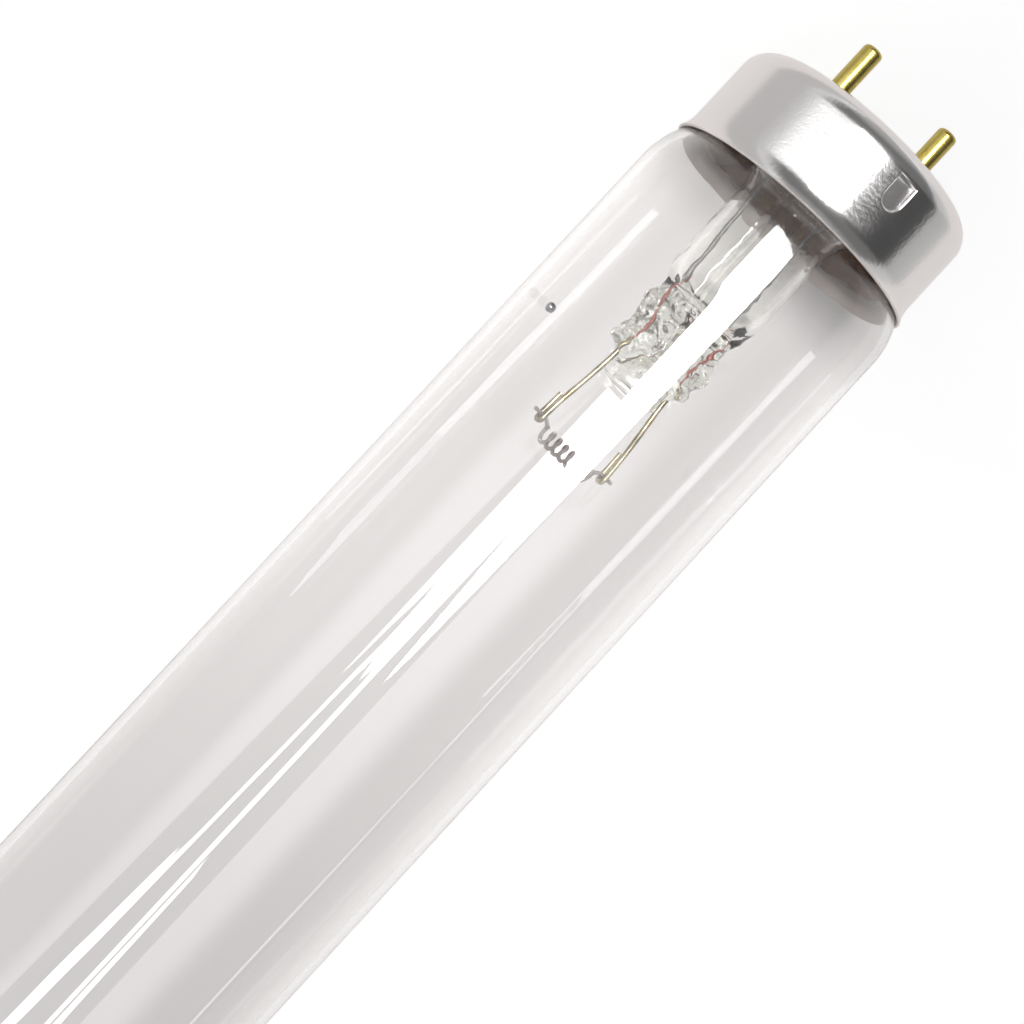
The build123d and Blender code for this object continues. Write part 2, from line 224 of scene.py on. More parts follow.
class Socket:
    """One output in a material's nodes; arithmetic on it adds Math nodes."""

    def __init__(self, finish, output):
        self.finish = finish
        self.output = output

    def math(self, operation, *values):
        return self.finish.node("ShaderNodeMath", {"operation": operation}, dict(enumerate(values)))

    def __add__(self, other):
        return self.math("ADD", self, other)

    def __radd__(self, other):
        return self.math("ADD", other, self)

    def __sub__(self, other):
        return self.math("SUBTRACT", self, other)

    def __rsub__(self, other):
        return self.math("SUBTRACT", other, self)

    def __mul__(self, other):
        return self.math("MULTIPLY", self, other)

    def __rmul__(self, other):
        return self.math("MULTIPLY", other, self)

    def __truediv__(self, other):
        return self.math("DIVIDE", self, other)


class Finish:
    """A node tree, of a material or of the world, that is built with node()."""

    def __init__(self, owner):
        self.owner = owner
        owner.use_nodes = True
        self.tree = owner.node_tree

    def node(self, kind, settings=None, inputs=None, output=0):
        """Adds a node: its settings first, then the values or links of its sockets."""
        node = self.tree.nodes.new(kind)
        for name, value in (settings or {}).items():
            if name == "stops":
                self.set_stops(node.color_ramp, value)
            else:
                setattr(node, name, value)
        for key, value in (inputs or {}).items():
            self.feed(node.inputs[key], value)
        return Socket(self, node.outputs[output])

    def feed(self, socket, value):
        if isinstance(value, Socket):
            self.tree.links.new(value.output, socket)
        else:
            socket.default_value = value

    def set_stops(self, ramp, stops):
        while len(ramp.elements) < len(stops):
            ramp.elements.new(1)
        for element, (position, colour) in zip(ramp.elements, stops):
            element.position = position
            element.color = colour

    def ramp(self, factor, stops):
        return self.node("ShaderNodeValToRGB", {"stops": stops}, {0: factor})

    def mix(self, factor, first, second):
        """Colour between two others."""
        settings = {"data_type": "RGBA"}
        return self.node("ShaderNodeMix", settings, {0: factor, 6: first, 7: second}, output=2)

    def place(self, scale=(1, 1, 1)):
        """Object coordinates, stretched or squeezed."""
        where = self.node("ShaderNodeTexCoord", output="Object")
        return self.node("ShaderNodeMapping", None, {"Vector": where, "Scale": scale})

    def grain(self, scale, detail=3.0, stretch=(1, 1, 1), roughness=0.55):
        """Noise, from 0 to 1, at a number of features per metre."""
        inputs = {"Vector": self.place(stretch), "Scale": scale, "Detail": detail, "Roughness": roughness}
        return self.node("ShaderNodeTexNoise", None, inputs)

    def window(self, value, low, high):
        """0 below low, 1 above high, smooth between."""
        settings = {"interpolation_type": "SMOOTHSTEP"}
        return self.node("ShaderNodeMapRange", settings, {0: value, 1: low, 2: high})


class Surface(Finish):
    """A material with one Principled shader."""

    def __init__(self, name, **constants):
        super().__init__(bpy.data.materials.new(name))
        self.shader = self.tree.nodes["Principled BSDF"]
        for socket, value in constants.items():
            self.set(socket.replace("_", " "), value)

    def set(self, socket, value):
        self.feed(self.shader.inputs[socket], value)

    def bump(self, height, strength, distance):
        inputs = {"Strength": strength, "Distance": distance, "Height": height}
        self.set("Normal", self.node("ShaderNodeBump", None, inputs, output="Normal"))


def tube_glass():
    glass = Surface("clear_tube_glass", Roughness=0.0, IOR=1.47, Transmission_Weight=1.0)
    haze = glass.grain(60, stretch=(0.25, 1, 1))
    glass.set("Base Color", glass.mix(haze, (0.905, 0.892, 0.89, 1), (0.94, 0.93, 0.926, 1)))
    draw_lines = glass.grain(700, detail=2.0, stretch=(0.012, 1, 1))
    glass.bump(draw_lines, 0.03, 0.0002)
    return glass


def stem_glass():
    glass = Surface("fire_polished_stem_glass", Roughness=0.0, IOR=1.54, Transmission_Weight=1.0)
    haze = glass.grain(300)
    clear = glass.mix(haze, (0.945, 0.95, 0.93, 1), (0.98, 0.98, 0.97, 1))
    where = glass.node("ShaderNodeTexCoord", output="Object")
    along = glass.node("ShaderNodeSeparateXYZ", None, {0: where}, "X")
    from_middle = glass.node("ShaderNodeMath", {"operation": "ABSOLUTE"}, {0: along})
    tint_end = face_x - (press_end + PRESS_TINT_FADE) * MM
    press = glass.window(from_middle, tint_end, tint_end + 2 * PRESS_TINT_FADE * MM)
    press = press * (1 - glass.window(from_middle, face_x - press_start * MM, face_x - taper_start * MM))
    glass.set("Base Color", glass.mix(press, clear, (0.81, 0.82, 0.775, 1)))
    ripple = glass.grain(420, detail=2.0)
    glass.bump(ripple, 0.2, 0.0003)
    return glass


def cap_metal():
    metal = Surface("drawn_aluminium", Metallic=1.0)
    stain = metal.grain(170, detail=5.0)
    bright = metal.mix(stain, (0.80, 0.775, 0.765, 1), (0.86, 0.845, 0.84, 1))
    # painted shade: the lining, marked by the inside attribute, gets a much darker colour than the outside;
    # it is rougher too
    painted_shade_lining = metal.mix(stain, (0.34, 0.30, 0.28, 1), (0.50, 0.47, 0.45, 1))
    inside = metal.node("ShaderNodeAttribute", {"attribute_name": "inside"}, output="Fac")
    metal.set("Base Color", metal.mix(inside, bright, painted_shade_lining))
    wear = metal.grain(420, detail=4.0)
    lines = metal.grain(2600, detail=2.0, stretch=(0.05, 1, 1))
    worn = metal.node("ShaderNodeAttribute", {"attribute_name": "worn"}, output="Fac")
    metal.set("Roughness", 0.12 + 0.07 * wear + 0.03 * lines + 0.3 * inside + 0.08 * worn)
    dimples = metal.grain(2400, detail=3.0)
    metal.bump(dimples + 0.2 * lines, 0.08, 0.0002)
    return metal


def pin_brass():
    brass = Surface("drawn_brass", Metallic=1.0)
    tarnish = brass.grain(600, detail=4.0)
    brass.set("Base Color", brass.mix(tarnish, (0.41, 0.31, 0.06, 1), (0.67, 0.56, 0.18, 1)))
    lines = brass.grain(5200, detail=2.0, stretch=(0.04, 1, 1))
    brass.set("Roughness", 0.16 + 0.12 * tarnish + 0.08 * lines)
    brass.bump(lines, 0.1, 0.0001)
    return brass


def plate_board():
    board = Surface("brown_phenolic_board", Specular_IOR_Level=0.4)
    fibre = board.grain(1400, detail=5.0, stretch=(1, 0.3, 1))
    board.set("Base Color", board.mix(fibre, (0.10, 0.045, 0.022, 1), (0.23, 0.115, 0.06, 1)))
    board.set("Roughness", 0.38 + 0.25 * fibre)
    board.bump(fibre, 0.15, 0.0002)
    return board


def baked_cement():
    cement = Surface("baked_brown_cement", Specular_IOR_Level=0.2)
    lumps = cement.grain(420, detail=6.0)
    crumbs = cement.grain(2600, detail=3.0)
    tone = 0.65 * lumps + 0.35 * crumbs
    stops = [(0.28, (0.02, 0.008, 0.003, 1)), (0.5, (0.075, 0.032, 0.012, 1)), (0.75, (0.21, 0.09, 0.032, 1))]
    cement.set("Base Color", cement.ramp(tone, stops))
    cement.set("Roughness", 0.75 + 0.2 * crumbs)
    cement.bump(tone, 0.6, 0.0006)
    return cement


def outer_lead_wire():
    wire = Surface("dull_grey_wire", Metallic=0.6, Specular_IOR_Level=0.2)
    scale_marks = wire.grain(2400, detail=4.0)
    wire.set("Base Color", wire.mix(scale_marks, (0.10, 0.10, 0.10, 1), (0.24, 0.235, 0.225, 1)))
    wire.set("Roughness", 0.5 + 0.2 * scale_marks)
    return wire


def seal_wire_copper():
    wire = Surface("red_copper_wire", Metallic=0.4)
    oxide = wire.grain(1500, detail=4.0)
    wire.set("Base Color", wire.mix(oxide, (0.20, 0.035, 0.025, 1), (0.42, 0.12, 0.09, 1)))
    wire.set("Roughness", 0.35 + 0.15 * oxide)
    return wire


def inner_lead_wire():
    wire = Surface("nickel_wire", Metallic=1.0)
    heat = wire.grain(260, detail=2.0, stretch=(1, 0.3, 0.3))
    stops = [(0.32, (0.17, 0.15, 0.10, 1)), (0.5, (0.46, 0.42, 0.31, 1)), (0.66, (0.28, 0.20, 0.08, 1))]
    wire.set("Base Color", wire.ramp(heat, stops))
    lines = wire.grain(5000, detail=2.0)
    wire.set("Roughness", 0.1 + 0.12 * lines)
    return wire


def filament_wire():
    wire = Surface("coated_filament_wire", Metallic=0.5)
    coating = wire.grain(1800, detail=4.0)
    wire.set("Base Color", wire.mix(coating, (0.31, 0.28, 0.27, 1), (0.54, 0.50, 0.48, 1)))
    wire.set("Roughness", 0.45 + 0.2 * coating)
    return wire


def mercury():
    metal = Surface("mercury", Metallic=1.0)
    skin = metal.grain(900, detail=2.0)
    metal.set("Base Color", metal.mix(skin, (0.24, 0.24, 0.26, 1), (0.36, 0.36, 0.38, 1)))
    metal.set("Roughness", 0.06 + 0.06 * skin)
    return metal


FINISHES = {
    "tube_glass": tube_glass(),
    "stem_glass": stem_glass(),
    "cap_metal": cap_metal(),
    "pin_brass": pin_brass(),
    "plate_phenolic": plate_board(),
    "cement": baked_cement(),
    "outer_lead": outer_lead_wire(),
    "seal_copper": seal_wire_copper(),
    "inner_lead": inner_lead_wire(),
    "filament": filament_wire(),
    "mercury": mercury(),
}


def at(inset, y, z):
    """Point of end a in metres, from an inset and offsets in millimetres."""
    return Vector((face_x - inset * MM, y * MM, z * MM))


def arc(inset, radius, size, start, sweep, steps):
    """Round stretch of an outline, as (inset, radius); degrees from the cap's side towards larger radius."""
    angles = [math.radians(start + sweep * step / steps) for step in range(steps + 1)]
    return [(inset - size * math.cos(angle), radius + size * math.sin(angle)) for angle in angles]


def smooth(value, low, high):
    """0 below low, 1 above high, smooth between."""
    share = min(max((value - low) / (high - low), 0.0), 1.0)
    return share * share * (3 - 2 * share)


def turned(outline, steps, closed=True):
    """Mesh made by turning an outline of (inset, radius) points about the tube's axis."""
    mesh = bmesh.new()
    corners = [mesh.verts.new(at(inset, 0, radius)) for inset, radius in outline]
    pairs = zip(corners, corners[1:] + corners[:1] if closed else corners[1:])
    edges = [mesh.edges.new(pair) for pair in pairs]
    bmesh.ops.spin(
        mesh,
        geom=corners + edges,
        cent=(0, 0, 0),
        axis=(1, 0, 0),
        angle=math.tau,
        steps=steps,
        use_merge=True,
    )
    bmesh.ops.remove_doubles(mesh, verts=mesh.verts, dist=1e-7)
    bmesh.ops.recalc_face_normals(mesh, faces=mesh.faces)
    return mesh


def finished_mesh(name, mesh, sharp_degrees=35):
    data = bpy.data.meshes.new(name)
    mesh.to_mesh(data)
    mesh.free()
    data.shade_smooth()
    data.set_sharp_from_angle(angle=math.radians(sharp_degrees))
    return data


def add_piece(node, data, slot, end="a"):
    """Piece of the finished tube that stands for one node of the frame."""
    if end == "b":
        data.transform(HALF_TURN)
    data.materials.append(FINISHES[slot].owner)
    piece = bpy.data.objects.new("finished_" + node, data)
    bpy.context.scene.collection.objects.link(piece)
    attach(piece, "root")
    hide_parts(node)
    if "glass" in slot:
        piece.visible_shadow = False
        piece.visible_diffuse = False
    return piece


def shoulder_outline(depth):
    """One end of the glass tube's wall, from the body to the seal, at a depth under the outer surface."""
    shoulder = arc(shoulder_start, tube_r - SHOULDER_R, SHOULDER_R - depth, 90, -shoulder_angle, 28)
    root_start = 270 - shoulder_angle
    root = arc(neck_start, neck_r + NECK_ROOT_R, NECK_ROOT_R + depth, root_start, shoulder_angle, 10)
    support = (shoulder_start + BODY_SUPPORT, tube_r - depth)
    return [support] + shoulder + root[1:] + [(seal_inset, neck_r - depth)]


def glass_tube():
    span = 2 * face_x / MM
    outer = shoulder_outline(0)
    inner = shoulder_outline(TUBE_WALL)
    far_outer = [(span - inset, radius) for inset, radius in reversed(outer)]
    far_inner = [(span - inset, radius) for inset, radius in inner]
    mesh = turned(far_outer + outer + inner[::-1] + far_inner, TUBE_STEPS)
    return finished_mesh("glass_tube", mesh)


def window_point(angle):
    """Point on the edge of the round-ended window in the cap's end face, at a turn round the axis."""
    half = WINDOW_WIDTH / 2
    along, across = math.cos(angle), math.sin(angle)
    middle = PIN_SPACING / 2
    if abs(along) * half <= middle * abs(across):
        return along / abs(across) * half, math.copysign(half, across)
    centre = math.copysign(middle, along)
    reach = along * centre
    distance = reach + math.sqrt(reach**2 - middle**2 + half**2)
    return along * distance, across * distance


def dent_depth(inset, side):
    """How deep a dent is at a place on the cap's wall: flat at the face's end, round at the rim's end."""
    half = DENT_WIDTH / 2
    round_inset = DENT_START + DENT_LENGTH - half
    if inset < round_inset:
        inside = min(half - abs(side), inset - DENT_START + DENT_EDGE / 2)
    else:
        inside = half - math.hypot(side, inset - round_inset)
    slope = (inset - DENT_START) / DENT_LENGTH
    depth = DENT_DEPTH + (DENT_LIP - DENT_DEPTH) * min(max(slope, 0.0), 1.0)
    return depth * smooth(inside, 0.0, DENT_EDGE)


def press_dents(mesh):
    """Refines the wall round both dents and pushes the dents in."""
    worn = mesh.verts.layers.float.new("worn")
    dent_end = DENT_START + DENT_LENGTH
    patch = []
    for edge in mesh.edges:
        middle = (edge.verts[0].co + edge.verts[1].co) / 2 / MM
        inset = face_x / MM - middle.x
        near = DENT_START - DENT_PATCH < inset < dent_end + DENT_PATCH
        if abs(middle.y) < DENT_WIDTH and near:
            patch.append(edge)
    bmesh.ops.subdivide_edges(mesh, edges=patch, cuts=DENT_CUTS, use_grid_fill=True)
    for vertex in mesh.verts:
        inset = (face_x - vertex.co.x) / MM
        radius = math.hypot(vertex.co.y, vertex.co.z) / MM
        side = vertex.co.y / MM
        near = DENT_START - DENT_CLEAR < inset < dent_end + DENT_CLEAR
        if not near or abs(side) > 2 * DENT_WIDTH:
            continue
        true_radius = CAP_R if inset > CAP_CORNER_R else radius
        depth = dent_depth(inset, side)
        vertex[worn] = min(depth / DENT_LIP, 1.0)
        sunk = true_radius - depth
        vertex.co.y *= sunk / radius
        vertex.co.z *= sunk / radius


def cap_shell():
    rim_arc_r = (RIM_FLARE_LENGTH**2 + RIM_FLARE**2) / (2 * RIM_FLARE)
    rim_angle = math.degrees(math.asin(RIM_FLARE_LENGTH / rim_arc_r))
    rim_start = CAP_LENGTH - RIM_FLARE_LENGTH
    rows = round((rim_start - CAP_CORNER_R) / CAP_ROW)
    wall = [(CAP_CORNER_R + (rim_start - CAP_CORNER_R) * row / rows, CAP_R) for row in range(1, rows)]
    corner = arc(CAP_CORNER_R, CAP_R - CAP_CORNER_R, CAP_CORNER_R, 0, 90, 14)
    flare = arc(rim_start, CAP_R + rim_arc_r, rim_arc_r, 270, -rim_angle, 10)
    mesh = turned([(0, WINDOW_RING_R)] + corner + wall + flare, CAP_STEPS, closed=False)
    inside = mesh.verts.layers.float.new("inside")
    ring = [edge for edge in mesh.edges if edge.is_boundary and edge.verts[0].co.x > face_x - MM]
    window = bmesh.ops.extrude_edge_only(mesh, edges=ring)["geom"]
    for vertex in (item for item in window if isinstance(item, bmesh.types.BMVert)):
        y, z = window_point(math.atan2(vertex.co.z, vertex.co.y))
        vertex.co = at(0, y, z)
    press_dents(mesh)
    bmesh.ops.recalc_face_normals(mesh, faces=mesh.faces)
    lining = bmesh.ops.solidify(mesh, geom=mesh.faces[:], thickness=CAP_WALL * MM)["geom"]
    for vertex in (item for item in lining if isinstance(item, bmesh.types.BMVert)):
        vertex[inside] = 1.0
    return finished_mesh("cap_shell", mesh, 60)


def contact_pin(y):
    bore_end = PIN_TIP_WALL - PIN_REACH
    tip = arc(PIN_TIP_R - PIN_REACH, PIN_R - PIN_TIP_R, PIN_TIP_R, 0, 90, 10)
    outline = [(bore_end, 0.0), (-PIN_REACH, 0.0)] + tip
    outline += [(BOSS_RECESS, PIN_R), (BOSS_RECESS, PIN_SHANK_R), (PLATE_BACK, PIN_SHANK_R)]
    outline += [(PLATE_BACK, RIVET_R), (RIVET_BACK, RIVET_R)]
    outline += [(RIVET_BACK, PIN_BORE_R), (bore_end, PIN_BORE_R)]
    mesh = turned(outline, PIN_STEPS)
    bmesh.ops.translate(mesh, verts=mesh.verts, vec=(0, y * MM, 0))
    return finished_mesh("contact_pin", mesh)


def cap_cement(seed):
    glass = [point for point in shoulder_outline(CEMENT_BITE) if seal_inset <= point[0] <= cement_end]
    bore_r = CAP_R - CAP_WALL - CEMENT_GAP
    glass_r = glass[0][1]
    steps = range(CEMENT_ROWS + 1)
    face = [(cement_end, glass_r + (bore_r - glass_r) * step / CEMENT_ROWS) for step in steps]
    back = [(seal_inset, glass[-1][1]), (seal_inset, bore_r)]
    mesh = turned(glass[::-1] + face + back[::-1], CEMENT_STEPS)
    for vertex in mesh.verts:
        inset = (face_x - vertex.co.x) / MM
        if inset > cement_end - 0.1:
            rough = noise.fractal(vertex.co / MM * CEMENT_GRAIN + Vector((seed, 0, 0)), 1.0, 2.0, 4)
            vertex.co.x -= CEMENT_ROUGH * rough * MM
    return finished_mesh("cap_cement", mesh)


def stem_shift(radius):
    """How far the flare has moved over towards the stem's own middle line, at a radius."""
    return MOUNT_OFFSET * (1 - smooth(radius, STEM_R, neck_r))


def stem_rings():
    """Sections of the stem as (inset, half width, half height, offset): up the outside, back down inside."""
    outside = [(seal_inset + SEAL_GAP, neck_r)]
    outside += arc(tube_start, flare_centre_r, flare_r - SEAL_GAP, 360, -90, 22)
    rings = [(inset, radius, radius, stem_shift(radius)) for inset, radius in outside]
    rows = round((press_end - taper_start) / STEM_ROW)
    for row in range(rows + 1):
        inset = taper_start + (press_end - taper_start) * row / rows
        flat = smooth(inset, taper_start, press_start)
        narrow = smooth(inset, press_end - PRESS_NARROWING, press_end)
        open_up = smooth(inset, press_end - MOUTH_ROOT, press_end + MOUTH_STEP)
        width = STEM_R + (PRESS_HALF[0] - STEM_R) * flat
        height = STEM_R + (TAPER_WAIST - STEM_R) * smooth(inset, taper_start, cavity_end + WAIST_REACH)
        height += (PRESS_HALF[1] - TAPER_WAIST) * smooth(inset, cavity_end, press_start + TAPER_REACH)
        width -= (width - MOUTH_R - MOUTH_COLLAR) * narrow
        height += (MOUTH_R - height) * open_up * MOUTH_SHARE
        rings.append((inset, width, height, MOUNT_OFFSET))
    lip_middle = MOUTH_R - MOUTH_WALL / 2
    lip_inset = mouth_end - MOUTH_BEAD_R
    lip_start = lip_inset - LIP_LENGTH
    mouth = [(press_end + 0.35, MOUTH_R + MOUTH_STEP), (press_end + 0.8, MOUTH_R), (lip_start, MOUTH_R)]
    mouth += arc(lip_inset, lip_middle, MOUTH_BEAD_R, 55, 250, 18)
    mouth += [(lip_start, MOUTH_R - MOUTH_WALL), (press_end, MOUTH_R - MOUTH_WALL)]
    mouth += [(press_end - MOUTH_ROOT, EXHAUST_BORE_R), (cavity_end, EXHAUST_BORE_R), (cavity_end, EXHAUST_R)]
    cavity_tip = cavity_end + CAVITY_TIP
    mouth += [(cavity_tip, EXHAUST_R)]
    rings += [(inset, radius, radius, MOUNT_OFFSET) for inset, radius in mouth]
    rings += [(cavity_tip - back, width, height, MOUNT_OFFSET) for back, width, height in CAVITY]
    cavity = arc(tube_start, flare_centre_r, flare_r + STEM_WALL, 270, 90, 22) + [(air_face, neck_r)]
    rings += [(inset, radius, radius, stem_shift(radius)) for inset, radius in cavity]
    return rings


def lump(point, inset, seed):
    """How far the pressed glass swells at a point, in millimetres."""
    place = Vector((inset, point.y / MM, point.z / MM)) / LUMP_SIZE + Vector((seed, 0, 0))
    share = smooth(inset, taper_start + LUMP_START, press_start)
    share *= 1 - smooth(inset, press_end - LUMP_END, press_end)
    swell = LUMP_HEIGHT * share * noise.fractal(place, 1.0, 2.0, 2)
    for along_press, side, height, length in BULGES:
        apart = (inset - press_start - along_press) / length
        edge = max(0.0, side * (point.y / MM - MOUNT_OFFSET) / PRESS_HALF[0])
        swell += height * math.exp(-apart * apart) * edge**6
    return swell


def add_bubbles(mesh):
    """Hollow bubbles inside the press, with their faces turned into the hollow."""
    for along_press, y, z, radius in BUBBLES:
        ball = bmesh.ops.create_icosphere(mesh, subdivisions=3, radius=radius * MM)["verts"]
        bmesh.ops.scale(mesh, verts=ball, vec=(1.5, 1.0, 0.8))
        bmesh.ops.translate(mesh, verts=ball, vec=at(press_start + along_press, MOUNT_OFFSET + y, z))
        faces = list({face for vertex in ball for face in vertex.link_faces})
        bmesh.ops.reverse_faces(mesh, faces=faces)


def stem(seed):
    mesh = bmesh.new()
    turn = mesh.verts.layers.float.new("turn")
    verts = bmesh.ops.create_circle(mesh, segments=STEM_STEPS, radius=1.0)["verts"]
    for vertex in verts:
        vertex[turn] = math.atan2(vertex.co.y, vertex.co.x)
    edges = list(mesh.edges)
    for number, (inset, width, height, offset) in enumerate(stem_rings()):
        if number:
            grown = bmesh.ops.extrude_edge_only(mesh, edges=edges)["geom"]
            verts = [item for item in grown if isinstance(item, bmesh.types.BMVert)]
            edges = [item for item in grown if isinstance(item, bmesh.types.BMEdge)]
        for vertex in verts:
            spread = math.cos(vertex[turn]), math.sin(vertex[turn])
            vertex.co = at(inset, offset + width * spread[0], height * spread[1])
            if width > MOUTH_R:
                swell = lump(vertex.co, inset, seed) * MM
                vertex.co += Vector((0, spread[0], spread[1])) * swell
    last = set(edges)
    opening = [edge for edge in mesh.edges if edge.is_boundary and edge not in last]
    bmesh.ops.bridge_loops(mesh, edges=opening + edges)
    bmesh.ops.recalc_face_normals(mesh, faces=mesh.faces)
    add_bubbles(mesh)
    return finished_mesh("stem", mesh, 70)


def exhaust_tube():
    dome = EXHAUST_TIP + EXHAUST_R
    outline = arc(dome, 0.0, EXHAUST_R, 0, 90, 12)
    outline += [(cavity_end - SEAL_GAP, EXHAUST_R), (cavity_end - SEAL_GAP, EXHAUST_BORE_R)]
    outline += arc(dome, 0.0, EXHAUST_BORE_R, 90, -90, 8)
    mesh = turned(outline, STEM_STEPS)
    bmesh.ops.translate(mesh, verts=mesh.verts, vec=(0, MOUNT_OFFSET * MM, 0))
    return finished_mesh("exhaust_tube", mesh)


def wire_curve(name, points, radius, kind="NURBS", sides=4):
    """Round wire along points in metres."""
    curve = bpy.data.curves.new(name, "CURVE")
    curve.dimensions = "3D"
    curve.bevel_depth = radius * MM
    curve.bevel_resolution = sides
    curve.use_fill_caps = True
    line = curve.splines.new("POLY" if kind == "POLY" else "NURBS")
    line.points.add(len(points) - 1)
    for spot, point in zip(line.points, points):
        spot.co = (*point, 1.0)
    if kind == "NURBS":
        line.order_u = 3
        line.use_endpoint_u = True
        line.resolution_u = 10
    return curve


def outer_lead(number):
    pin_at, lead_at = pin_y[number], lead_y[number]
    side = 1 if lead_at > 0 else -1
    points = [
        at(PIN_LEAD_SETBACK - PIN_REACH, pin_at, 0),
        at(RIVET_BACK + 0.6, pin_at, 0),
        at(RIVET_BACK + 2.4, pin_at - 0.2 * side, 0.1),
        at(9.5, lead_at + 0.75, 0.2),
        at(13.0, lead_at + 0.55, 0.1),
        at(17.5, lead_at + 0.25, -0.15),
        at(21.0, lead_at + 0.05, 0.05),
        at(weld_inset - 0.5, lead_at + 0.15, 0.15),
        at(weld_inset + 0.8, lead_at + 0.25 + 0.25 * side, 0.3),
    ]
    return wire_curve("outer_lead", points, OUTER_LEAD_R)


def seal_wire(number):
    lead_at = lead_y[number]
    side = 1 if lead_at > 0 else -1
    points = [
        at(weld_inset - 1.0, lead_at - 0.1, -0.15),
        at(weld_inset + 0.4, lead_at + 0.1 * side, -0.1),
        at(weld_inset + 1.8, lead_at + 0.3 * side, 0),
        at(press_start + 0.8, lead_at + 0.1 * side, 0.1),
        at(press_start + 2.6, lead_at - 0.55 * side, 0.2),
        at(press_start + 4.2, lead_at - 0.6 * side, 0.1),
        at(inner_lead_start + 0.5, lead_at, 0),
    ]
    return wire_curve("seal_wire", points, SEAL_WIRE_R)


def inner_lead(number):
    lead_at, hook_at = lead_y[number], hook_y[number]
    spread = hook_at - lead_at
    points = [
        at(inner_lead_start, lead_at, 0),
        at(press_end - 0.4, lead_at, 0),
        at(press_end + 1.4, lead_at + 0.1 * spread, 0.05),
        at(press_end + 5.0, lead_at + 0.5 * spread, 0.12),
        at(hook_inset - 3.0, lead_at + 0.8 * spread, 0.05),
        at(hook_inset - 0.1, hook_at, 0),
        at(hook_inset + 0.62, hook_at + 0.02, 0),
        at(hook_inset + 0.72, hook_at + 0.03, -HOOK_R),
        at(hook_inset + 0.62, hook_at + 0.04, -2 * HOOK_R),
        at(hook_inset - 0.2, hook_at + 0.05, -2 * HOOK_R),
        at(hook_inset - HOOK_RETURN, hook_at - 0.12 * spread, -2 * HOOK_R),
    ]
    return wire_curve("inner_lead", points, INNER_LEAD_R)


def filament_route():
    """Middle line of the filament, in small steps: tail, coil, tail."""
    length = COIL_PITCH * COIL_TURNS
    start_y = HOOK_OFFSET + length / 2
    axis_inset = hook_inset + COIL_STANDOFF + COIL_R
    steps = COIL_TURNS * COIL_STEPS
    coil = []
    for step in range(steps + 1):
        turn = math.tau * COIL_TURNS * step / steps
        y = start_y - length * step / steps
        coil.append(at(axis_inset - COIL_R * math.cos(turn), y, -HOOK_R - COIL_R * math.sin(turn)))
    tail_in = []
    tail_out = []
    for step in range(TAIL_STEPS + 1):
        beyond = (TAIL_CURVE + TAIL_STUB) * (1 - step / TAIL_STEPS)
        bend = COIL_STANDOFF * (1 - smooth(beyond, 0.0, TAIL_CURVE))
        tail_in.append(at(hook_inset + bend, start_y + beyond, -HOOK_R))
        tail_out.append(at(hook_inset + bend, start_y - length - beyond, -HOOK_R))
    reach = hook_y[0] + TAIL_STUB - start_y
    tail_in = [at(hook_inset, start_y + reach, -HOOK_R)] + tail_in
    tail_out = [at(hook_inset, start_y - length - reach, -HOOK_R)] + tail_out
    return tail_in[:-1] + coil + tail_out[-2::-1]


def filament():
    """The route wound as a fine coil of thinner wire."""
    route = filament_route()
    points = []
    along = (route[1] - route[0]).normalized()
    side = along.orthogonal().normalized()
    travelled = 0.0
    for here, ahead in zip(route, route[1:]):
        step = ahead - here
        along = step.normalized()
        side = (side - along * side.dot(along)).normalized()
        up = along.cross(side)
        count = max(1, round(step.length / (FINE_PITCH * MM) * FINE_POINTS))
        for part in range(count):
            share = part / count
            turn = math.tau * (travelled + step.length * share) / (FINE_PITCH * MM)
            out = side * math.cos(turn) + up * math.sin(turn)
            points.append(here + step * share + out * FINE_COIL_R * MM)
        travelled += step.length
    return wire_curve("filament", points, FINE_WIRE_R, "POLY", 1)


def mercury_drop():
    low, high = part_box("mercury_drop")
    middle = (low + high) / 2
    outward = Vector((0, middle.y, middle.z)).normalized()
    mesh = bmesh.new()
    bmesh.ops.create_icosphere(mesh, subdivisions=5, radius=DROP_R * MM)
    limit = (DROP_R - DROP_FLAT) * MM
    for vertex in mesh.verts:
        reach = vertex.co.dot(outward)
        if reach > limit:
            vertex.co -= outward * (reach - limit) * DROP_SQUASH
        vertex.co += middle + outward * DROP_FLAT * DROP_SQUASH * MM
    return finished_mesh("mercury_drop", mesh)


add_piece("glass_tube", glass_tube(), "tube_glass")
add_piece("mercury_drop", mercury_drop(), "mercury")
for seed, end in enumerate(ENDS):
    cap = add_piece(f"cap_shell_{end}", cap_shell(), "cap_metal", end)
    rounding = cap.modifiers.new("rim", "BEVEL")
    rounding.width = RIM_ROUNDING * MM
    rounding.segments = 3
    rounding.limit_method = "ANGLE"
    rounding.angle_limit = math.radians(60)
    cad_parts[f"pin_plate_{end}"].material_slots[0].material = FINISHES["plate_phenolic"].owner
    add_piece(f"cap_cement_{end}", cap_cement(10 * seed), "cement", end)
    add_piece(f"stem_{end}", stem(7 * seed), "stem_glass", end)
    add_piece(f"exhaust_tube_{end}", exhaust_tube(), "stem_glass", end)
    add_piece(f"filament_{end}", filament(), "filament", end)
    for number in (0, 1):
        label = f"{number + 1}_{end}"
        add_piece(f"contact_pin_{label}", contact_pin(pin_y[number]), "pin_brass", end)
        add_piece(f"outer_lead_{label}", outer_lead(number), "outer_lead", end)
        add_piece(f"seal_wire_{label}", seal_wire(number), "seal_copper", end)
        add_piece(f"inner_lead_{label}", inner_lead(number), "inner_lead", end)


# Camera
VIEW_LEAN = math.radians(4.6)       # the camera leans this far towards the middle of the tube
VIEW_ROLL = math.radians(23.3)      # and stands this far round the tube from straight above
IMAGE_TURN = math.radians(47.2)     # slope of the tube in the picture
FIELD_WIDTH = 106.1
LENS = 134.9
SENSOR = 36.0
TARGET_INSET = 53.8
TARGET_SHIFT = -0.907               # across the tube in the picture

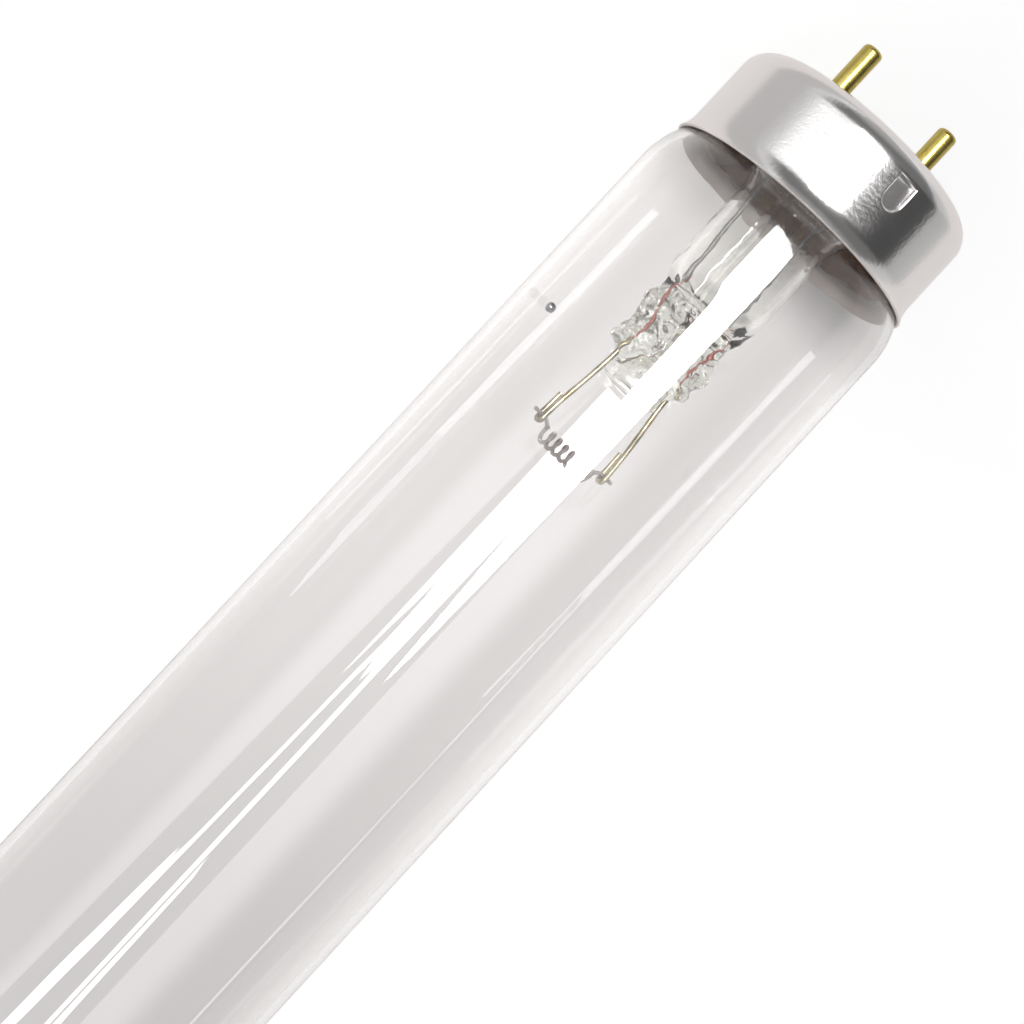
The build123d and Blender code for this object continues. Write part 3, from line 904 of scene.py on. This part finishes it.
over = Vector((0, math.sin(VIEW_ROLL), math.cos(VIEW_ROLL)))
across = Vector((0, -math.cos(VIEW_ROLL), math.sin(VIEW_ROLL)))
towards = over * math.cos(VIEW_LEAN) + Vector((-math.sin(VIEW_LEAN), 0, 0))
along = over * math.sin(VIEW_LEAN) + Vector((math.cos(VIEW_LEAN), 0, 0))


def add_camera():
    right = along * math.cos(IMAGE_TURN) + across * math.sin(IMAGE_TURN)
    up = along * math.sin(IMAGE_TURN) - across * math.cos(IMAGE_TURN)
    data = bpy.data.cameras.new("camera")
    data.lens = LENS
    data.sensor_width = SENSOR
    data.clip_end = 100.0
    camera = bpy.data.objects.new("camera", data)
    target = at(TARGET_INSET, 0, 0) + across * TARGET_SHIFT * MM
    distance = FIELD_WIDTH * MM * LENS / SENSOR
    turn = Matrix((right, up, towards)).transposed().to_4x4()
    camera.matrix_world = Matrix.Translation(target + towards * distance) @ turn
    bpy.context.scene.collection.objects.link(camera)
    bpy.context.scene.camera = camera


# Floor under the tube: tones are shares of white, and spans are metres along X or Y. Seen through the tube,
# its glow carries painted shade and painted light; seen in metal, it carries a painted reflection.
FLOOR_SIZE = 40.0
FLOOR_MIDDLE = -0.007     # the tube is seen against the floor on this line
FLOOR_GLOW = 0.72
# Painted shade: the floor is darker where it is seen through the tube, more so towards the far end and on the
# right; painted light on the left near the cap
TUBE_PAINTED_SHADE = 0.632         # the floor, seen through the tube
TUBE_TINT = (1.0, 0.987, 0.975, 1)
FAR_PAINTED_SHADE = 0.70           # share of it that is left towards the far end
FAR_SPAN = (0.17, 0.245)
RIGHT_PAINTED_SHADE = 0.88         # and on the right of the picture
RIGHT_SPAN = (-0.011, -0.004)
LEFT_PAINTED_LIGHT = 0.16          # lighter on the left, near the cap
LEFT_SPAN = (0.0025, 0.008)
LEFT_RUN = (0.245, 0.268)
# Painted shadow of the cap on the floor's glow, seen through the glass
CAP_PAINTED_SHADOW = 0.52          # shade of the cap, and what is added in its deep part
DEEP_PAINTED_SHADOW = 0.4
SHADE_RUN = (0.2755, 0.2845)
DEEP_FROM = (0.002, 0.0065)
DEEP_TO = (0.0125, 0.0165)
# Painted light on the floor's glow along both edges of the tube
EDGE_PAINTED_LIGHT = 0.24          # lighter along both edges of the tube
EDGE_SPAN = (0.0145, 0.026)
# Painted reflection: the floor's colour as seen in metal, darker on the far side
PAINTED_REFLECTION_NEAR = (0.515, 0.485, 0.475, 1)
PAINTED_REFLECTION_FAR = (0.27, 0.264, 0.26, 1)
PAINTED_REFLECTION_SPAN = (0.036, 0.044)

# Studio light: glow is a multiple of white
SKY_GLOW = 0.07
CEILING_GLOW = 1.15
BAND_GLOW = 2.9
LOW_RIGHT_GLOW = 0.42
LOWER_RIGHT_GLOW = 0.3
FAR_LEFT_GLOW = 0.57
LAMP_GLOW = 40.0
LAMP_END_GLOW = 16.0
LAMP_DISTANCE = 0.5
GLOW_HEIGHT = 0.05
LAMP_END = (              # metres along X, and both edges in degrees round the tube
    (0.475, -7.0, -2.0),
    (0.466, -7.0, 4.0),
    (0.440, -7.0, 9.0),
    (0.376, -7.0, 15.0),
    (0.371, -7.0, 16.5),
)
LAMP = (
    (0.371, -7.0, 16.5),
    (0.349, -7.0, 17.0),
    (0.345, -3.5, 17.0),
    (0.318, -3.5, 15.5),
    (0.298, -1.0, 15.0),
    (0.284, 2.0, 14.0),
    (0.240, 7.5, 11.0),
    (0.230, 9.0, 9.0),
)

# Glowing strips on the floor, seen only through the glass: glow, then rows of inset and both edges along Y
BRIGHT = 1.55
STREAKS = (
    (BRIGHT, ((35.5, -4.2, -5.7), (56.0, -4.1, -5.5), (78.0, -4.1, -4.1))),
    (BRIGHT, ((35.5, -5.6, -7.2), (39.5, -5.6, -7.6), (71.0, -5.2, -7.3), (77.0, -6.2, -6.2))),
    (BRIGHT, ((70.5, -5.2, -5.9), (82.0, -5.0, -5.3), (98.0, -4.5, -5.0), (131.0, -2.8, -3.9))),
    (BRIGHT, ((70.5, -6.4, -7.3), (77.0, -6.7, -7.2), (131.0, -6.5, -6.9))),
    (BRIGHT, ((33.4, -2.2, -4.0), (34.1, -2.3, -6.4), (34.9, -5.0, -6.4))),
    (BRIGHT, ((103.0, -4.0, -4.0), (106.5, -3.7, -4.3), (131.0, -2.5, -3.4))),
    (BRIGHT, ((101.5, -7.3, -7.3), (104.5, -7.3, -7.7), (131.0, -7.2, -8.0))),
    (1.10, ((18.5, 7.0, 5.8), (33.0, 7.4, 6.2), (52.0, 7.8, 6.6))),
    (1.00, ((52.0, 7.8, 6.6), (67.0, 7.9, 6.8), (75.5, 7.2, 7.1))),
    (1.02, ((16.5, -20.2, -21.5), (53.5, -19.5, -20.8))),
    (1.04, ((53.5, -20.4, -20.8), (76.5, -20.3, -20.7))),
    (1.02, ((53.5, -19.5, -19.8), (69.0, -19.2, -19.4))),
    (1.09, ((19.0, 10.4, 9.8), (50.0, 11.2, 10.5), (67.0, 11.9, 11.2))),
    (1.05, ((16.5, -25.9, -27.0), (36.5, -25.2, -26.1))),
    (0.93, ((76.5, -20.3, -20.7), (131.0, -20.0, -20.3))),
)


def grey(level):
    return (level, level, level, 1)


def add_floor():
    """White floor; seen directly it adds its own share of the white, and seen through glass or in metal it
    glows with painted shade, painted light and a painted reflection.
    """
    mesh = bmesh.new()
    bmesh.ops.create_grid(mesh, x_segments=1, y_segments=1, size=FLOOR_SIZE / 2)
    bmesh.ops.translate(mesh, verts=mesh.verts, vec=(0, 0, -tube_r * MM))
    data = bpy.data.meshes.new("floor")
    mesh.to_mesh(data)
    mesh.free()
    paper = Surface("white_floor", Roughness=0.9, Specular_IOR_Level=0.0, Emission_Strength=1.0)
    paper.set("Base Color", grey(0.5))
    where = paper.node("ShaderNodeTexCoord", output="Object")
    run = paper.node("ShaderNodeSeparateXYZ", None, {0: where}, "X")
    side = paper.node("ShaderNodeSeparateXYZ", None, {0: where}, "Y")
    offset = side - FLOOR_MIDDLE
    distance = paper.node("ShaderNodeMath", {"operation": "ABSOLUTE"}, {0: offset})
    seen = paper.node("ShaderNodeLightPath", output="Is Camera Ray")
    through = paper.node("ShaderNodeLightPath", output="Is Transmission Ray")
    mirrored = paper.node("ShaderNodeLightPath", output="Is Glossy Ray")
    # Painted shade and light on the floor's glow seen through the glass: darker towards the far end and on
    # the right, lighter on the left near the cap
    level = FAR_PAINTED_SHADE + (1 - FAR_PAINTED_SHADE) * paper.window(run, *FAR_SPAN)
    level = level * (RIGHT_PAINTED_SHADE + (1 - RIGHT_PAINTED_SHADE) * paper.window(offset, *RIGHT_SPAN))
    level = level * (1 + LEFT_PAINTED_LIGHT * paper.window(side, *LEFT_SPAN) * paper.window(run, *LEFT_RUN))
    # painted shadow of the cap, deeper in one band beside the tube's middle line
    past = FLOOR_MIDDLE - side
    deep = paper.window(past, *DEEP_FROM) * (1 - paper.window(past, *DEEP_TO))
    level = level * (1 - paper.window(run, *SHADE_RUN) * (CAP_PAINTED_SHADOW + DEEP_PAINTED_SHADOW * deep))
    # painted light along both edges of the tube
    level = TUBE_PAINTED_SHADE * level + EDGE_PAINTED_LIGHT * paper.window(distance, *EDGE_SPAN)
    painted_light_and_shade_below_tube = paper.mix(level, grey(0), TUBE_TINT)
    # painted reflection: the floor as metal sees it, darker on the far side
    painted_reflection_in_metal = paper.mix(paper.window(side, *PAINTED_REFLECTION_SPAN), PAINTED_REFLECTION_NEAR, PAINTED_REFLECTION_FAR)
    glow = paper.mix(seen, grey(0), grey(FLOOR_GLOW))
    glow = paper.mix(mirrored, glow, painted_reflection_in_metal)
    paper.set("Emission Color", paper.mix(through, glow, painted_light_and_shade_below_tube))
    data.materials.append(paper.owner)
    floor = bpy.data.objects.new("floor", data)
    bpy.context.scene.collection.objects.link(floor)


def add_glow(name, rows, place, radiance):
    """Glowing ribbon that is seen only in glass and metal; rows give a place along it and its two edges."""
    mesh = bmesh.new()
    bmesh.ops.create_grid(mesh, x_segments=len(rows) - 1, y_segments=1, size=0.5)
    for vertex in mesh.verts:
        where, first, second = rows[round((vertex.co.x + 0.5) * (len(rows) - 1))]
        vertex.co = place(where, first if vertex.co.y < 0 else second)
    data = bpy.data.meshes.new(name)
    mesh.to_mesh(data)
    mesh.free()
    glow = Surface(name, Emission_Color=grey(1), Emission_Strength=radiance)
    glow.set("Base Color", grey(0))
    data.materials.append(glow.owner)
    ribbon = bpy.data.objects.new(name, data)
    ribbon.visible_camera = False
    ribbon.visible_diffuse = False
    ribbon.visible_shadow = False
    bpy.context.scene.collection.objects.link(ribbon)
    return ribbon


def overhead(x, angle):
    """Place above the tube: metres along it, degrees round it from the camera's side."""
    turn = math.radians(angle)
    return (over * math.cos(turn) + across * math.sin(turn)) * LAMP_DISTANCE + Vector((x, 0, 0))


def beneath(inset, y):
    """Place just above the floor, under the tube."""
    return at(inset, y, GLOW_HEIGHT - tube_r)


def add_world():
    """Studio: soft light overhead, dark to the right of it and beyond the cap, white low on the right.

    Angles are degrees round the tube from the camera's side; forward is 1 straight towards the cap.
    """
    world = bpy.data.worlds.new("studio")
    bpy.context.scene.world = world
    sky = Finish(world)
    view = sky.node("ShaderNodeTexCoord", output="Generated")
    product = {"operation": "DOT_PRODUCT"}
    rise = sky.node("ShaderNodeVectorMath", product, {0: view, 1: over}, "Value")
    sideways = sky.node("ShaderNodeVectorMath", product, {0: view, 1: across}, "Value")
    forward = sky.node("ShaderNodeVectorMath", product, {0: view, 1: (1, 0, 0)}, "Value")
    angle = sky.node("ShaderNodeMath", {"operation": "ARCTAN2"}, {0: sideways, 1: rise}) / math.pi * 180
    left = sky.window(angle, -62.0, -36.0)
    right = sky.window(angle, 14.0, 24.0)
    beyond_cap = sky.window(forward, 0.22, 0.45)
    ceiling = left * (1 - right) * (1 - beyond_cap)
    over_body = sky.window(forward, -0.2, -0.12) * (1 - sky.window(forward, 0.08, 0.155))
    left_band = sky.window(angle, -58.0, -40.0) * (1 - sky.window(angle - 89 * forward, -31.5, -30.2))
    right_band = sky.window(angle, 14.8, 16.2) * (1 - sky.window(angle, 30.0, 52.0))
    ceiling = ceiling + over_body * (BAND_GLOW * (left_band + right_band) - ceiling)
    low_right = sky.window(angle, 83.0, 86.0)
    lower_right = sky.window(angle, 88.0, 150.0)
    far_left = 1 - sky.window(angle, -60.0, -36.0)
    far_end = 0.1 * sky.window(forward, 0.3, 0.5) + 0.25 * sky.window(forward, 0.75, 0.97)
    level = SKY_GLOW + CEILING_GLOW * ceiling + FAR_LEFT_GLOW * far_left + far_end
    level = level + LOW_RIGHT_GLOW * low_right + LOWER_RIGHT_GLOW * lower_right
    seen = sky.node("ShaderNodeLightPath", output="Is Camera Ray")
    through = sky.node("ShaderNodeLightPath", output="Is Transmission Ray")
    background = sky.tree.nodes["Background"]
    sky.feed(background.inputs["Color"], sky.mix(seen + through, level, grey(1)))


add_camera()
add_floor()
add_world()
add_glow("lamp", LAMP, overhead, LAMP_GLOW)
add_glow("lamp_end", LAMP_END, overhead, LAMP_END_GLOW)
for radiance, rows in STREAKS:
    add_glow("streak", rows, beneath, radiance).visible_glossy = False

scene = bpy.context.scene
scene.view_settings.view_transform = "Standard"
scene.cycles.max_bounces = 32
scene.cycles.transmission_bounces = 32
scene.cycles.glossy_bounces = 12
